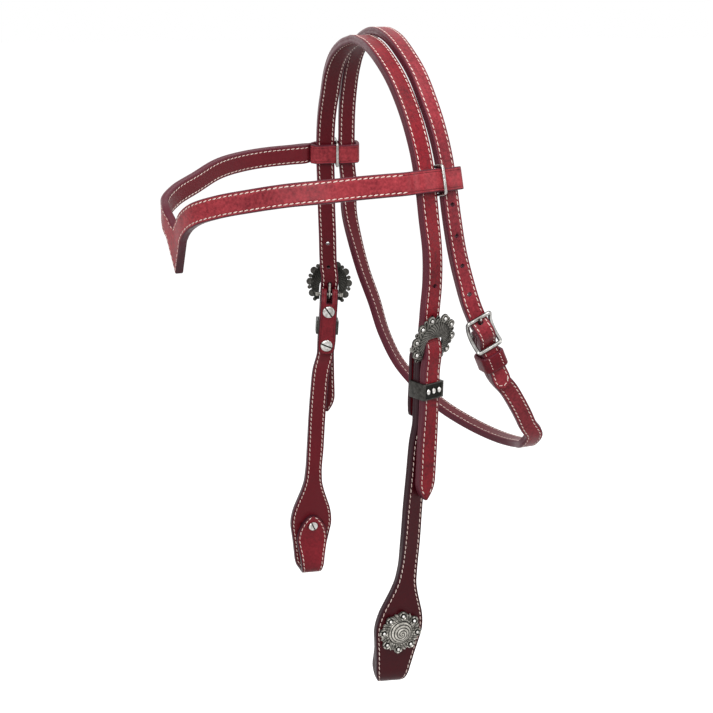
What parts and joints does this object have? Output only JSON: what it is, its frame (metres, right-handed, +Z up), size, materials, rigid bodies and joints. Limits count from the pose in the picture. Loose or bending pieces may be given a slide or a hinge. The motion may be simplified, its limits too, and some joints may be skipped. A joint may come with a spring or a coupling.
{
  "type": "western headstall",
  "caption": "Western bridle headstall with a V-shaped browband, buckled cheekpieces with bit loops and conchos, and an adjustable throat strap.",
  "frame": {"origin": "middle of the crown strap's underside at its top, where it rests on the poll", "axes": "+Z up along the horse's cheeks, -Y forward to the browband's V, +X to the side with the throat buckle"},
  "size_m": [0.2517, 0.2902, 0.52],
  "materials": {
    "oxblood_leather": "waxed, with burnished edges",
    "antique_metal": "antiqued pewter",
    "bright_metal": "polished nickel"
  },
  "bodies": {
    "headstall": {"crown_strap": "oxblood_leather", "throat_strap": "oxblood_leather", "throat_keeper": "oxblood_leather", "left_cheekpiece": "oxblood_leather", "right_cheekpiece": "oxblood_leather", "left_upper_post": "bright_metal", "left_lower_post": "bright_metal", "right_upper_post": "bright_metal", "right_lower_post": "bright_metal", "left_upper_screw": "bright_metal", "left_lower_screw": "bright_metal", "right_upper_screw": "bright_metal", "right_lower_screw": "bright_metal", "left_concho": "antique_metal", "right_concho": "antique_metal", "left_concho_screw": "bright_metal", "right_concho_screw": "bright_metal"},
    "brow": {"browband": "oxblood_leather", "left_browband_ring": "bright_metal", "right_browband_ring": "bright_metal"},
    "left_frame": {"left_cheek_buckle_frame": "antique_metal"},
    "right_frame": {"right_cheek_buckle_frame": "antique_metal"},
    "left_tongue": {"left_cheek_buckle_tongue": "antique_metal"},
    "right_tongue": {"right_cheek_buckle_tongue": "antique_metal"},
    "left_keeper": {"left_cheek_keeper": "antique_metal"},
    "right_keeper": {"right_cheek_keeper": "antique_metal"},
    "throat_frame": {"throat_buckle_frame": "bright_metal"},
    "throat_tongue": {"throat_buckle_tongue": "bright_metal"}
  },
  "joints": [
    {"name": "browband_slide", "type": "slide", "parent": "headstall", "child": "brow", "axis": [0, 0, 1], "range_m": [-0.0015, 0.0015]},
    {"name": "left_frame_rock", "type": "hinge", "parent": "headstall", "child": "left_frame", "pos_m": [0.10703, 0.0073, -0.2208], "axis": [-0.309, 0.9509, -0.0175], "range_deg": [-0.7, 0.7]},
    {"name": "right_frame_rock", "type": "hinge", "parent": "headstall", "child": "right_frame", "pos_m": [-0.10703, 0.0128, -0.2272], "axis": [0.3083, 0.9487, -0.0698], "range_deg": [-0.7, 0.7]},
    {"name": "left_tongue_hinge", "type": "hinge", "parent": "headstall", "child": "left_tongue", "pos_m": [0.10703, 0.0073, -0.2208], "axis": [-0.309, 0.9509, -0.0175], "range_deg": [-2.5, 2.5]},
    {"name": "right_tongue_hinge", "type": "hinge", "parent": "headstall", "child": "right_tongue", "pos_m": [-0.10703, 0.0128, -0.2272], "axis": [0.3083, 0.9487, -0.0698], "range_deg": [-2.5, 2.5]},
    {"name": "left_keeper_slide", "type": "slide", "parent": "headstall", "child": "left_keeper", "axis": [-0.0054, 0.0166, 0.9998], "range_m": [-0.005, 0.005]},
    {"name": "right_keeper_slide", "type": "slide", "parent": "headstall", "child": "right_keeper", "axis": [0.0216, 0.0663, 0.9976], "range_m": [-0.005, 0.005]},
    {"name": "throat_frame_rock", "type": "hinge", "parent": "headstall", "child": "throat_frame", "pos_m": [0.11198, 0.054, -0.2118], "axis": [0, 0.9135, 0.4067], "range_deg": [-1, 1]},
    {"name": "throat_tongue_hinge", "type": "hinge", "parent": "headstall", "child": "throat_tongue", "pos_m": [0.11198, 0.054, -0.2118], "axis": [0, 0.9135, 0.4067], "range_deg": [-1, 1]}
  ]
}
